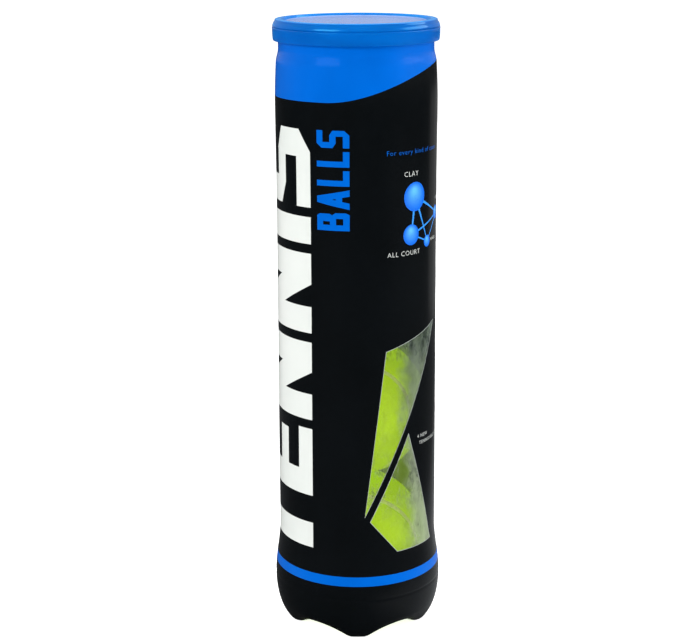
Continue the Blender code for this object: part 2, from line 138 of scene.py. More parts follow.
class Recipe:
    """A material's node tree, built a node at a time. An input given as a socket is linked."""

    def __init__(self, name):
        self.material = bpy.data.materials.new(name)
        self.material.use_nodes = True
        self.tree = self.material.node_tree
        self.tree.nodes.clear()
        self.output = self.tree.nodes.new("ShaderNodeOutputMaterial")

    def set(self, socket, value):
        if isinstance(value, bpy.types.NodeSocket):
            self.tree.links.new(value, socket)
        else:
            socket.default_value = value

    def node(self, kind, inputs=None, **settings):
        made = self.tree.nodes.new("ShaderNode" + kind)
        for key, value in settings.items():
            setattr(made, key, value)
        for key, value in (inputs or {}).items():
            self.set(made.inputs[key], value)
        return made

    def place(self, scale=(1, 1, 1)):
        """The point on the surface, in metres, stretched by scale."""
        where = self.node("TexCoord").outputs["Object"]
        if scale == (1, 1, 1):
            return where
        return self.node("Mapping", {"Vector": where, "Scale": scale}).outputs["Vector"]

    def axes(self):
        """The point's coordinates in metres, as outputs named X, Y and Z."""
        return self.node("SeparateXYZ", {"Vector": self.place()}).outputs

    def noise(self, scale, detail=3.0, stretch=(1, 1, 1), roughness=0.5):
        return self.node("TexNoise", {"Vector": self.place(stretch), "Scale": scale, "Detail": detail,
                                      "Roughness": roughness}).outputs["Fac"]

    def span(self, value, low, high, from_low=0.0, from_high=1.0, **settings):
        """value from from_low to from_high, turned to low to high."""
        return self.node("MapRange", {"Value": value, "From Min": from_low, "From Max": from_high,
                                      "To Min": low, "To Max": high}, **settings).outputs["Result"]

    def math(self, operation, *values, clamp=True):
        return self.node("Math", dict(enumerate(values)), operation=operation, use_clamp=clamp).outputs[0]

    def plain(self, operation, *values):
        """The same, with a result that may go below 0 or above 1."""
        return self.math(operation, *values, clamp=False)

    def blend(self, share, first, second):
        made = self.node("Mix", data_type="RGBA")
        for slot, value in ((0, share), (6, first), (7, second)):
            self.set(made.inputs[slot], value)
        return made.outputs[2]

    def mottled(self, value, low, high, first, second):
        """A colour that goes from first to second as value goes from low to high."""
        return self.blend(self.span(value, 0, 1, low, high), first, second)

    def bump(self, height, distance, strength=1.0, below=None):
        inputs = {"Height": height, "Distance": distance, "Strength": strength}
        if below is not None:
            inputs["Normal"] = below
        return self.node("Bump", inputs).outputs["Normal"]

    def mixed(self, share, first, second):
        return self.node("MixShader", {0: share, 1: first, 2: second}).outputs[0]

    def finish(self, shader):
        self.tree.links.new(shader, self.output.inputs["Surface"])
        return self.material

    def coated(self, **inputs):
        """Finishes with one principled shader. Its inputs are given with _ for the spaces."""
        named = {key.replace("_", " "): value for key, value in inputs.items()}
        return self.finish(self.node("BsdfPrincipled", named).outputs[0])


def tone(red, green, blue):
    """An sRGB colour of 0 to 255, as linear RGBA."""
    def linear(value):
        value /= 255
        return value / 12.92 if value <= 0.04045 else ((value + 0.055) / 1.055) ** 2.4
    return (linear(red), linear(green), linear(blue), 1.0)


def printed_film(name, light, dark, roughness=0.2, gloss_tint=(255, 255, 255), shaded=False):
    """Glossy shrink film over ink: faint ripples of the film, and fine handling marks in its gloss.
    shaded ink runs from dark to light by the mesh's own shade value."""
    r = Recipe(name)
    if shaded:
        share = r.math("POWER", r.node("Attribute", attribute_name="shade").outputs["Fac"], 1.5)
    else:
        share = r.span(r.noise(40.0, 3.0, (1, 1, 0.5)), 0, 1, 0.3, 0.7)
    marks = r.noise(300.0, 5.0, (1, 1, 0.5), 0.65)
    return r.coated(
        Base_Color=r.blend(share, tone(*dark), tone(*light)),
        Roughness=r.span(marks, roughness - 0.02, roughness + 0.03, 0.35, 0.75),
        Normal=r.bump(r.noise(60.0, 1.0, (1, 1, 0.35)), 0.00025, 0.2),
        Specular_IOR_Level=0.25, Specular_Tint=tone(*gloss_tint), Coat_Weight=0.04, Coat_Roughness=0.08)


def grazing(r, straight, edge, power):
    """A share that grows from straight, face on, to edge at a glancing angle."""
    facing = r.node("LayerWeight", {"Blend": 0.5}).outputs["Facing"]
    return r.span(r.math("POWER", facing, power), straight, edge)


def clear_plastic(name, tint, haze_low, haze_high, smudges, painted_veil=0.0):
    """Clear plastic a fraction of a millimetre thick: it lets light through, mirrors at glancing
    angles, and carries a thin grey haze, with darker smudges. Its last value is the strength of a grey
    veil of painted shade and glare on the right-hand side of each window, standing in for the balls'
    unlit side and the film's reflection."""
    r = Recipe(name)
    height = r.axes()["Z"]
    cloud = r.noise(60.0, 6.0, (1, 1, 0.7), 0.65)
    streaks = r.noise(230.0, 6.0, (1, 1, 0.45), 0.75)
    worn = r.math("MULTIPLY", r.span(cloud, 0, 1, 0.46, 0.66), r.span(streaks, 0, 1, 0.4, 0.7))
    haze = r.math("ADD", r.span(worn, 0, smudges), grazing(r, haze_low, haze_high, 2.2))
    # painted shade and glare over the right of each window, standing in for the balls' unlit side and the
    # film's reflection
    if painted_veil:
        dark_marks = dark_marks_share(r, height)
        haze = r.math("ADD", haze, r.math("MULTIPLY", painted_veil_share(r), painted_veil))
        haze = r.math("ADD", haze, r.span(dark_marks, 0, 0.42))
        worn = r.math("ADD", worn, dark_marks)
    through = r.node("BsdfTransparent", {"Color": tint}).outputs[0]
    low_dust = r.blend(r.noise(90.0, 3.0), tone(166, 180, 150), tone(204, 216, 186))
    pale = r.blend(r.span(height, 0, 0.9, 0.07, 0.15), low_dust, tone(104, 114, 116))
    # grey haze and smudges, and on each window's right also painted shade and glare
    dust_and_painted_shade = r.node("BsdfDiffuse", {"Color": r.blend(worn, pale, tone(42, 52, 46)), "Roughness": 1.0})
    ripple = r.bump(r.noise(85.0, 1.0, (1, 1, 0.5)), 0.0003, 0.3)
    gloss = r.node("BsdfGlossy", {"Color": (1, 1, 1, 1), "Roughness": 0.09, "Normal": ripple})
    body = r.mixed(haze, through, dust_and_painted_shade.outputs[0])
    return r.finish(r.mixed(grazing(r, 0.025, 0.7, 5.0), body, gloss.outputs[0]))


def dark_marks_share(r, height):
    """Dark ragged marks, gathered a little above each place where two balls meet."""
    dark_marks_z = FIRST_BALL_Z + 0.5 * BALL_PITCH + DARK_MARKS_RISE
    half = 0.5 * BALL_PITCH * MM
    away = r.plain("ABSOLUTE", r.plain("WRAP", r.plain("SUBTRACT", height, dark_marks_z * MM), half, -half))
    ragged = r.noise(170.0, 7.0, (1, 1, 0.55), 0.8)
    return r.math("MULTIPLY", r.span(away, 1.0, 0.0, 0.004, 0.016), r.span(ragged, 0, 1, 0.47, 0.62))


def painted_veil_share(r):
    """The mask of the painted shade and glare on each window: 0 on a window's left and 1 on its right,
    with a soft ragged edge that leans with height. The two windows' pairs are half a turn apart."""
    at = r.axes()
    turn = r.plain("ARCTAN2", at["X"], r.plain("MULTIPLY", at["Y"], -1.0))
    lean = r.span(at["Z"], PAINTED_VEIL_EDGE_LOW, PAINTED_VEIL_EDGE_HIGH, 0.055, 0.1)
    ragged = r.plain("ADD", lean, r.span(r.noise(120.0, 5.0), -0.07, 0.07, 0.3, 0.7))
    past = r.plain("SUBTRACT", r.plain("WRAP", turn, math.pi, 0.0), ragged)
    return r.span(past, 0, 1, -0.1, 0.16, interpolation_type="SMOOTHSTEP")


def backing_ink():
    """The silvery reverse of the print, as seen through the windows."""
    r = Recipe("film_backing")
    mottle = r.noise(140.0, 5.0, (1, 1, 0.6), 0.7)
    return r.coated(Base_Color=r.mottled(mottle, 0.35, 0.7, tone(176, 184, 176), tone(224, 230, 224)),
                    Roughness=r.span(mottle, 0.35, 0.6), Metallic=0.1, Normal=r.bump(mottle, 0.0001, 0.5))


def lid_plastic(name, deep, light):
    """Translucent blue polythene: wet gloss, faint flow lines and a fine moulded texture."""
    r = Recipe(name)
    fine = r.noise(1300.0, 2.0)
    return r.coated(
        Base_Color=r.mottled(r.noise(38.0, 2.0, (1, 1, 2.5)), 0.3, 0.7, tone(*deep), tone(*light)),
        Roughness=r.span(fine, 0.12, 0.2),
        Normal=r.bump(fine, 0.000006, 0.3, r.bump(r.noise(55.0, 2.0), 0.0003, 0.2)),
        Specular_IOR_Level=0.9, Specular_Tint=tone(90, 225, 255),
        Sheen_Weight=0.6, Sheen_Roughness=0.3, Sheen_Tint=tone(30, 170, 255),
        Subsurface_Weight=0.15, Subsurface_Radius=(0.001, 0.003, 0.006), Subsurface_Scale=0.5,
        Alpha=0.94)


def lid_window():
    """The lid's thin middle, clearer than its rim and paler: partly as it is thin, partly a painted
    reflection of the pale studio.
    """
    r = Recipe("lid_blue_thin")
    fine = r.noise(900.0, 3.0)
    return r.coated(
        Base_Color=r.blend(r.noise(30.0), tone(152, 184, 248), tone(176, 202, 252)),
        Roughness=r.span(fine, 0.2, 0.28),
        Normal=r.bump(fine, 0.000004, 0.2, r.bump(r.noise(40.0, 2.0), 0.0004, 0.25)), Alpha=0.62)


def turned_metal(name, colour, roughness):
    """Lacquered aluminium with the faint rings and streaks of its rolling and pressing."""
    r = Recipe(name)
    streaks = r.noise(260.0, 5.0, (1, 14, 1))
    dark = tone(*[value * 0.9 for value in colour])
    return r.coated(
        Base_Color=r.mottled(r.noise(70.0, 4.0), 0.3, 0.7, tone(*colour), dark),
        Roughness=r.span(streaks, roughness - 0.04, roughness + 0.06, 0.3, 0.7), Metallic=1.0,
        Normal=r.bump(streaks, 0.00001, 0.2), Coat_Weight=0.15, Coat_Roughness=0.1)


def dull_rubber(name, colour, grain_scale, roughness, painted_glow=0.0):
    """A matt grainy solid. Its last value is painted light: an emission in the solid's own colour, though it
    is no lamp.
    """
    r = Recipe(name)
    grain = r.noise(grain_scale, 5.0, roughness=0.65)
    dark = tone(*[value * 0.86 for value in colour])
    return r.coated(
        Base_Color=r.mottled(grain, 0.3, 0.7, dark, tone(*colour)),
        Roughness=r.span(grain, roughness - 0.1, roughness + 0.1),
        Normal=r.bump(grain, 0.0002, 0.6), Emission_Color=tone(*colour), Emission_Strength=painted_glow)


def felt_cloth():
    """Woven and raised felt in a fluorescent yellow: a matted nap of short curled fibres with paler
    tips. Its emission is partly the dye's fluorescence and partly painted light, which brightens the
    felt in the can's shaded inside."""
    r = Recipe("felt")
    clumps = r.noise(330.0, 6.0, roughness=0.7)
    hairs = r.noise(2600.0, 5.0, roughness=0.75)
    wisps = r.node("TexVoronoi", {"Vector": r.place(), "Scale": 900.0}).outputs["Distance"]
    base = r.mottled(clumps, 0.32, 0.68, tone(134, 164, 8), tone(154, 182, 24))
    return r.coated(
        Base_Color=r.blend(r.span(hairs, 0, 0.55, 0.4, 0.75), base, tone(184, 208, 84)),
        Roughness=r.span(hairs, 0.86, 1.0),
        Normal=r.bump(hairs, 0.0004, 0.7, r.bump(wisps, 0.0005, 0.4, r.bump(clumps, 0.0012, 0.6))),
        Specular_IOR_Level=0.15, Sheen_Weight=0.3, Sheen_Roughness=0.45, Sheen_Tint=tone(226, 244, 150),
        # painted light: emission that brightens the felt in the can's shaded inside, beyond the dye's
        # fluorescence
        Emission_Color=tone(190, 230, 20), Emission_Strength=0.55)


def floor_paper():
    """Matt white paper. In gloss on the can it shows a painted reflection: darker, but for a painted bright
    patch at the can's right.
    """
    r = Recipe("floor_paper")
    at = r.axes()
    # painted reflection: gloss on the can sees the paper darker, and brighter in this painted patch at the
    # can's right
    painted_bright_patch = r.math("MULTIPLY", r.span(at["X"], 0, 1, 0.01, 0.045), r.span(at["X"], 1, 0, 0.09, 0.2))
    painted_bright_patch = r.math("MULTIPLY", painted_bright_patch, r.span(at["Y"], 0, 1, -0.12, -0.06))
    mirrored = r.blend(painted_bright_patch, tone(66, 67, 69), tone(142, 144, 146))
    paper = r.mottled(r.noise(400.0, 4.0), 0.3, 0.7, tone(236, 236, 237), tone(243, 243, 243))
    ray = r.node("LightPath").outputs
    return r.coated(
        Base_Color=r.blend(ray["Is Glossy Ray"], paper, mirrored), Roughness=0.9,
        Specular_IOR_Level=0.1, Emission_Color=(1, 1, 1, 1),
        Emission_Strength=r.span(ray["Is Camera Ray"], 0.0, FLOOR_GLOW))


# The can's skin


def smooth(t):
    t = min(max(t, 0.0), 1.0)
    return t * t * (3 - 2 * t)


def quarter(t):
    return math.sin(math.pi / 2 * t)


WALL = [  # height and radius of each station, and how the wall bends on its way down to it
    (NECK_Z, NECK_R, smooth), (SHOULDER_Z, SHOULDER_R, smooth), (UPPER_Z, UPPER_R, quarter),
    (WAIST_Z, WAIST_R, smooth), (LOWER_Z, LOWER_R, smooth), (BULGE_Z, BULGE_R, smooth),
]


def wall_radius(z):
    for (high, above, _), (low, below, ease) in zip(WALL, WALL[1:]):
        if z >= low:
            return above + (below - above) * ease((high - z) / (high - low))
    return BULGE_R


def rounded(share, corner):
    return 1 - (1 - min(share, 1.0) ** corner) ** (1 / corner)


def foot_z(radius, valley):
    if radius >= PAD_OUTER_R:
        return BULGE_Z * rounded((radius - PAD_OUTER_R) / (BULGE_R - PAD_OUTER_R), FOOT_CORNER)
    if radius >= PAD_INNER_R:
        return 0.0
    return valley * smooth((PAD_INNER_R - radius) / (PAD_INNER_R - DOME_R))


def base_z(radius, degrees):
    spacing = 360 / FEET
    from_foot = abs((degrees + spacing / 2) % spacing - spacing / 2)
    valley = DOME_Z + (BULGE_Z - DOME_Z) * rounded(radius / BULGE_R, VALLEY_CORNER)
    foot = foot_z(radius, valley)
    across = max(0.0, from_foot - PAD_HALF_ANGLE) / (spacing / 2 - PAD_HALF_ANGLE)
    rise = math.sin(math.pi / 2 * min(across, 1.0)) ** FLANK
    return foot + rise * max(0.0, valley - foot)


def base_radius(step):
    if step <= 1:
        return PAD_OUTER_R + (BULGE_R - PAD_OUTER_R) * math.cos(math.pi / 2 * step) ** (2 / FOOT_CORNER)
    return PAD_OUTER_R * (2 - step)


def skin(run, degrees):
    """The outer skin in millimetres. run is the height, down to the widest part, and below that
    the height less the length of film round the corner."""
    if run >= BULGE_Z:
        z, radius = run, wall_radius(run)
    else:
        radius = base_radius((BULGE_Z - run) / BASE_RUN)
        z = base_z(radius, degrees)
    radius -= CREASE_DEPTH * math.exp(-((run - BULGE_Z) / CREASE_WIDTH) ** 2)
    turn = math.radians(degrees)
    return Vector((radius * math.sin(turn), -radius * math.cos(turn), z))


def skin_and_normal(run, degrees):
    step = 0.02
    here = skin(run, degrees)
    up = skin(run + step, degrees) - skin(run - step, degrees)
    side = skin(run, degrees + step) - skin(run, degrees - step)
    normal = side.cross(up)
    if normal.length < 1e-12:
        return here, Vector((0, 0, -1))
    return here, normal.normalized()


def run_of_radius(radius):
    if radius < PAD_OUTER_R:
        return BULGE_Z - BASE_RUN * (2 - radius / PAD_OUTER_R)
    share = (radius - PAD_OUTER_R) / (BULGE_R - PAD_OUTER_R)
    return BULGE_Z - BASE_RUN * math.acos(share ** (FOOT_CORNER / 2)) / (math.pi / 2)


# Meshes


def new_object(name, mesh):
    obj = bpy.data.objects.new(name, mesh)
    bpy.context.scene.collection.objects.link(obj)
    return obj


def object_from(name, points, faces, materials, indices=None, normals=None, sharp=None):
    """points in millimetres. indices gives each face's material, and normals each point's normal.
    Without normals, the faces are turned to look outwards."""
    mesh = bpy.data.meshes.new(name)
    mesh.from_pydata([tuple(MM * value for value in point) for point in points], [], faces)
    for material in materials:
        mesh.materials.append(material)
    if indices:
        mesh.polygons.foreach_set("material_index", indices)
    mesh.shade_smooth()
    if sharp is not None:
        mesh.set_sharp_from_angle(angle=math.radians(sharp))
    if normals:
        mesh.normals_split_custom_set_from_vertices([tuple(n) for n in normals])
    mesh.update()
    if not normals:
        face_out(mesh)
    return new_object(name, mesh)


def face_out(mesh):
    bm = bmesh.new()
    bm.from_mesh(mesh)
    bmesh.ops.recalc_face_normals(bm, faces=bm.faces)
    bm.to_mesh(mesh)
    bm.free()


def place(obj, body, slot, *nodes):
    """Puts a piece on its body and hides the plain solids it stands for. Its slot, the name of its finish, is
    not used.
    """
    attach(obj, body)
    if nodes:
        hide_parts(*nodes)
    return obj


def turned(name, outline, materials, segments=160, kinds=None, centre=(0, 0), sharp=40):
    """A closed outline of (radius, z) carried round the axis. kinds gives each band's material."""
    points, faces, indices = [], [], []
    rings = []
    for radius, z in outline:
        if radius == 0:
            rings.append([len(points)] * segments)
            points.append((centre[0], centre[1], z))
            continue
        rings.append(list(range(len(points), len(points) + segments)))
        for i in range(segments):
            turn = 2 * math.pi * i / segments
            points.append((centre[0] + radius * math.cos(turn), centre[1] + radius * math.sin(turn), z))
    for j, (ring, after) in enumerate(zip(rings, rings[1:] + rings[:1])):
        if len(set(ring)) == 1 and len(set(after)) == 1:
            continue
        for i in range(segments):
            k = (i + 1) % segments
            faces.append(tuple(dict.fromkeys([ring[i], ring[k], after[k], after[i]])))
            indices.append(kinds[j] if kinds else 0)
    return object_from(name, points, faces, materials, indices, sharp=sharp)


def arc(centre, radius, start, end, count):
    """Points of a round stretch in (radius, z), from the start angle to the end one, in degrees."""
    steps = [math.radians(start + (end - start) * i / (count - 1)) for i in range(count)]
    return [(centre[0] + radius * math.cos(a), centre[1] + radius * math.sin(a)) for a in steps]


# Artwork: closed outlines in (degrees, height)


def degrees_of(length):
    """The angle that a length takes round the body."""
    return math.degrees(length / WAIST_R)


def swoosh_z(degrees):
    """Lower edge of the blue at the top. It falls back to its low level behind the can."""
    turn = (degrees - SWOOSH_FROM) % 360
    rise = smooth(turn / (SWOOSH_TO - SWOOSH_FROM))
    fall = smooth((turn - 190) / 120)
    lift = 0.55 * rise + 0.45 * math.sin(math.pi / 2 * rise)
    return SWOOSH_LOW + SWOOSH_RISE * lift * (1 - fall)


def stroke_letter(letter, width, bar):
    """The strokes of a plain block capital in a box of this width and height 1, as polygons. bar is
    (thickness across, thickness up)."""
    across, up = bar
    middle, inner, foot = 0.5 * width, width - across, across * 1.1
    slant, cut_x, cut_y = across * 1.15, across * 0.8, up * 0.8
    mid_low, mid_high = 0.5 - 0.5 * up, 0.5 + 0.5 * up

    def box(left, low, right, high):
        return [(left, low), (right, low), (right, high), (left, high)]

    left, right = box(0, 0, across, 1), box(inner, 0, width, 1)
    top, bottom = box(0, 1 - up, width, 1), box(0, 0, width, up)
    return {
        "T": [top, box(middle - 0.5 * across, 0, middle + 0.5 * across, 1)],
        "E": [left, top, bottom, box(0, mid_low, width * 0.92, mid_high)],
        "N": [left, right, [(width - slant, 0), (width, 0), (slant, 1), (0, 1)]],
        "I": [left],
        "L": [left, bottom],
        "B": [left, box(0, 1 - up, width * 0.84, 1), box(0, 0, width * 0.9, up),
              box(0, mid_low, width * 0.86, mid_high),
              [(width * 0.84, 1), (width * 0.84 - across, 1 - up), (width * 0.84 - across, 0.5),
               (width * 0.84, 0.5), (width * 0.95, 0.6), (width * 0.95, 0.9)],
              [(width * 0.9, 0), (width, 0.1), (width, 0.42), (width * 0.88, 0.52),
               (inner, 0.52), (inner, 0)]],
        "A": [[(0, 0), (foot, 0), (middle + 0.5 * foot, 1), (middle - 0.5 * foot, 1)],
              [(width - foot, 0), (width, 0), (middle + 0.5 * foot, 1), (middle - 0.5 * foot, 1)],
              box(width * 0.2, 0.22, width * 0.8, 0.22 + up)],
        "S": [[(cut_x, 1), (width, 1), (width, 1 - up), (cut_x, 1 - up)],
              [(0, 1 - cut_y), (cut_x, 1), (across, 1 - up), (across, 0.5), (0, 0.5)],
              [(0, 0.5), (across, 0.5), (width, 0.5), (width - cut_x, mid_high), (0.3 * across, mid_high)],
              [(0, 0.5), (cut_x, mid_low), (width - 0.3 * across, mid_low), (width, 0.5)],
              [(inner, 0.5), (width, 0.5), (width, cut_y), (width - cut_x, 0), (inner, up)],
              [(0, 0), (width - cut_x, 0), (width - cut_x, up), (0, up)]],
    }[letter]


LETTER_WIDTHS = {"T": 0.84, "E": 0.9, "N": 1.02, "I": 0.34, "S": 0.96, "B": 1.0, "A": 1.1, "L": 0.86}


def upright_word(text, base, rise, low, high, bars, gap_share):
    """A word that reads upwards, with its letters' feet on the angle base and their tops on the
    left. bars is the thickness of the stems, as a share of the common letter width, and of the
    arms, as a share of the height."""
    total = sum(LETTER_WIDTHS[letter] for letter in text) + gap_share * (len(text) - 1)
    unit = (high - low) / total
    polygons = []
    start = low
    for letter in text:
        bar = (bars[0] * unit, bars[1])
        for polygon in stroke_letter(letter, LETTER_WIDTHS[letter] * unit, bar):
            polygons.append([(base - rise * y, start + x) for x, y in polygon])
        start += (LETTER_WIDTHS[letter] + gap_share) * unit
    return polygons


def level_text(text, left, low, height):
    """Small level lettering, with each outline of the letters as its own loop."""
    curve = bpy.data.curves.new("lettering", "FONT")
    curve.body = text
    curve.size = 1.0
    curve.space_character = 1.12
    curve.offset = -0.012
    curve.resolution_u = 2
    holder = new_object("lettering", curve)
    bpy.context.view_layer.update()
    flat = bpy.data.meshes.new_from_object(holder.evaluated_get(bpy.context.evaluated_depsgraph_get()))
    bm = bmesh.new()
    bm.from_mesh(flat)
    bmesh.ops.remove_doubles(bm, verts=bm.verts, dist=1e-5)
    scale = height / 0.73  # a capital's height at size 1
    after = {}
    for edge in bm.edges:
        if len(edge.link_faces) == 1:
            first = edge.link_loops[0]
            after[first.vert] = first.link_loop_next.vert
    loops = []
    while after:
        start = next(iter(after))
        loop, vert = [], start
        while vert in after:
            loop.append((left + degrees_of(vert.co.x * scale), low + vert.co.y * scale))
            vert = after.pop(vert)
        if len(loop) > 2:
            loops.append(loop)
    bm.free()
    bpy.data.objects.remove(holder)
    bpy.data.meshes.remove(flat)
    bpy.data.curves.remove(curve)
    return loops


def disc(centre, radius, count=28):
    return [(centre[0] + degrees_of(radius * math.cos(2 * math.pi * i / count)),
             centre[1] + radius * math.sin(2 * math.pi * i / count)) for i in range(count)]


def thin_line(start, end, start_width, end_width):
    """A straight tapered line between two (degrees, height) points, its widths in millimetres."""
    run = Vector((math.radians(end[0] - start[0]) * WAIST_R, end[1] - start[1]))
    side = Vector((-run.y, run.x)).normalized()
    out = []
    for (a, z), half in ((start, -0.5 * start_width), (end, -0.5 * end_width),
                         (end, 0.5 * end_width), (start, 0.5 * start_width)):
        out.append((a + degrees_of(side.x) * half, z + side.y * half))
    return out


def grown(polygon, margin):
    """A convex outline moved outwards by margin, in millimetres."""
    flat = [Vector((math.radians(a) * WAIST_R, z)) for a, z in polygon]
    area = sum(p.cross(q) for p, q in zip(flat, flat[1:] + flat[:1]))
    turn = 1 if area > 0 else -1
    moved = []
    for before, here, after in zip(flat[-1:] + flat[:-1], flat, flat[1:] + flat[:1]):
        first, second = (here - before).normalized(), (after - here).normalized()
        out_first = Vector((first.y, -first.x)) * turn
        out_second = Vector((second.y, -second.x)) * turn
        bisector = (out_first + out_second).normalized()
        moved.append(here + bisector * margin / max(0.35, bisector.dot(out_first)))
    return [(math.degrees(p.x / WAIST_R), p.y) for p in moved]


def chart_discs(k):
    """The outlines at step k of the size chart's balls. Each step is smaller and nearer the top."""
    share = k / BALL_SHADES
    return [disc((a - degrees_of(0.1 * share * r), z + 0.52 * share * r), (1 - share) * r)
            for a, z, r in CHART_BALLS]


def chart_lines():
    out = []
    for i, j in CHART_LINKS:
        (a, z, first), (b, y, second) = CHART_BALLS[i], CHART_BALLS[j]
        out.append(thin_line((a, z), (b, y), 0.2 * first, 0.16 * second))
    return out


def shade_at(degrees, height):
    """How pale the chart's ink is at this point: each step of a ball is paler than the one before."""
    shade = 0.0
    for turn in (0, 180, -180):
        for a, z, r in CHART_BALLS:
            x, y = math.radians(degrees + turn - a) * WAIST_R, height - z
            if x * x + y * y > (1.01 * r) ** 2:
                continue
            for k in range(1, BALL_SHADES):
                share = k / BALL_SHADES
                if math.hypot(x + 0.1 * share * r, y - 0.52 * share * r) <= (1 - share) * r + 0.01:
                    shade = max(shade, k / (BALL_SHADES - 1))
    return shade


def artwork():
    """(kind, outlines, rule) from the bottom layer up. "any" fills every outline, and "odd" fills
    what an odd number of them hold, so that letters keep their holes."""
    top = SLEEVE_TOP_Z + 5
    swoosh = [(a, swoosh_z(a)) for a in range(-180, 181, COLUMN)]
    ring = [(-180, RING_LOW), (180, RING_LOW), (180, RING_HIGH), (-180, RING_HIGH)]
    windows = [UPPER_WINDOW, LOWER_WINDOW]
    word = upright_word("TENNIS", WORD_BASE, WORD_RISE, WORD_LOW, WORD_HIGH, (0.34, 0.2), 0.12)
    side_word = upright_word("BALLS", SIDE_WORD_BASE, SIDE_WORD_RISE, SIDE_WORD_LOW, SIDE_WORD_HIGH,
                             (0.32, 0.19), 0.2)
    front = [("silver", [grown(window, WINDOW_LINE) for window in windows], "any"),
             ("clear", windows, "any"), ("white", word, "any"), ("blue", side_word, "any"),
             ("pale", chart_lines(), "any")]
    front += [("ball", chart_discs(k), "any") for k in range(BALL_SHADES)]
    front += [(kind, level_text(text, left, low, height), "odd")
              for kind, text, left, low, height in SMALL_PRINT]
    layers = [("blue", [[*swoosh, (180, top), (-180, top)]], "any"), ("blue", [ring], "any")]
    back = [(kind, [half_turned(outline) for outline in outlines], rule) for kind, outlines, rule in front]
    return layers + front + back


def half_turned(outline):
    """The same outline on the can's other side, kept within -180 to 180 degrees."""
    shift = 180 if outline[0][0] < 0 else -180
    return [(a + shift, z) for a, z in outline]


KINDS = [*INKS, "clear", "backing", "edge"]


def spread(low, high, step):
    count = max(1, round((high - low) / step))
    return [low + (high - low) * i / count for i in range(count)]


def sleeve_rows(end):
    """Heights that follow the skin: close where it curves."""
    return [*spread(end, 20.0, 1.1), *spread(20.0, 25.0, 0.25), *spread(25.0, 50.0, 1.6),
            *spread(50.0, 250.0, 5.0), *spread(250.0, 266.0, 2.0), *spread(266.0, 275.0, 0.7),
            *spread(275.0, SLEEVE_TOP_Z, 1.6), SLEEVE_TOP_Z]


def sleeve_plan():
    """Triangles of the unrolled film as (points, faces, kind of each face)."""
    rows = sleeve_rows(run_of_radius(SLEEVE_END_R))
    points = [Vector((a, run)) for run in rows for a in range(-180, 181, COLUMN)]
    loops, owners = [], []
    layers = artwork()
    for index, (_, outlines, _) in enumerate(layers):
        for outline in outlines:
            part = divided([(a, min(z, SLEEVE_TOP_Z)) for a, z in outline])
            loops.append(list(range(len(points), len(points) + len(part))))
            points.extend(Vector(p) for p in part)
            owners.append(index)
    edges = [pair for loop in loops for pair in zip(loop, loop[1:] + loop[:1])]
    flat, _, faces, _, _, _ = delaunay_2d_cdt(points, edges, [], 0, 1e-4)
    flat = np.array([tuple(p) for p in flat])
    middles = flat[np.array([tuple(face) for face in faces])].mean(axis=1)
    kinds = np.full(len(faces), KINDS.index("black"))
    spots = np.array([tuple(p) for p in points])
    for index, (name, _, rule) in enumerate(layers):
        times_held = np.zeros(len(faces), int)
        for loop, owner in zip(loops, owners):
            if owner == index:
                times_held += inside(middles, spots[loop])
        kinds[times_held > 0 if rule == "any" else times_held % 2 == 1] = KINDS.index(name)
    return flat.tolist(), [tuple(face) for face in faces], [KINDS[kind] for kind in kinds]


def inside(places, outline):
    """1 for each place that the outline goes round, else 0."""
    low, high = outline.min(axis=0), outline.max(axis=0)
    near = np.flatnonzero(((places >= low) & (places <= high)).all(axis=1))
    crossings = np.zeros(len(near), int)
    for (ax, ay), (bx, by) in zip(outline, np.roll(outline, -1, axis=0)):
        if ay == by:
            continue
        x, y = places[near, 0], places[near, 1]
        spans = (ay > y) != (by > y)
        crossings += spans & (x < ax + (bx - ax) * (y - ay) / (by - ay))
    held = np.zeros(len(places), int)
    held[near] = crossings % 2
    return held


def divided(outline):
    """The same outline with points at least every column, so that it follows the curved skin."""
    out = []
    for (a, z), (b, y) in zip(outline, outline[1:] + outline[:1]):
        count = max(1, math.ceil(abs(b - a) / COLUMN), math.ceil(abs(y - z) / TALLEST))
        out += [(a + (b - a) * i / count, z + (y - z) * i / count) for i in range(count)]
    return [p for p, q in zip(out, out[1:] + out[:1]) if abs(p[0] - q[0]) > 1e-4 or abs(p[1] - q[1]) > 1e-4]


def thickened(sheet, count):
    """A closed skin: the sheet's faces, the reverse of each on the inner points, which follow count
    outer ones, and walls along the sheet's open edges."""
    edges = {}
    for face in sheet:
        for i, j in zip(face, face[1:] + face[:1]):
            if (j, i) in edges:
                del edges[(j, i)]
            else:
                edges[(i, j)] = (j, i, count + i, count + j)
    return [*sheet, *[tuple(count + i for i in reversed(face)) for face in sheet], *edges.values()]


def build_sleeve(film):
    """The printed sleeve as one closed skin: print outside, silver backing inside."""
    flat, faces, kinds = sleeve_plan()
    spots = {}
    merged = []
    for a, run in flat:  # the two edges at the back are one line
        key = (round(-180.0 if a > 179.9999 else a, 4), round(run, 4))
        merged.append(spots.setdefault(key, len(spots)))
    sheet, inks = [], []
    for face, kind in zip(faces, kinds):
        ring = [merged[i] for i in face]
        if len(set(ring)) < 3:
            continue
        (ax, ay), (bx, by), (cx, cy) = (flat[i] for i in face)
        if (bx - ax) * (cy - ay) - (by - ay) * (cx - ax) < 0:
            ring.reverse()
        sheet.append(tuple(ring))
        inks.append(kind)
    outer, normals = zip(*(skin_and_normal(run, a) for a, run in spots))
    inner = [here - normal * SLEEVE_WALL for here, normal in zip(outer, normals)]
    shell = thickened(sheet, len(spots))
    inks += ["clear" if kind == "clear" else "backing" for kind in inks]
    inks += ["edge"] * (len(shell) - len(inks))
    obj = object_from("printed_sleeve", [*outer, *inner], shell, [film[kind] for kind in KINDS],
                      [KINDS.index(kind) for kind in inks], [*normals, *[-normal for normal in normals]])
    shades = [shade_at(a, run) for a, run in spots]
    obj.data.attributes.new("shade", "FLOAT", "POINT").data.foreach_set("value", shades * 2)
    return place(obj, "can", "printed_film", "shrink_sleeve")


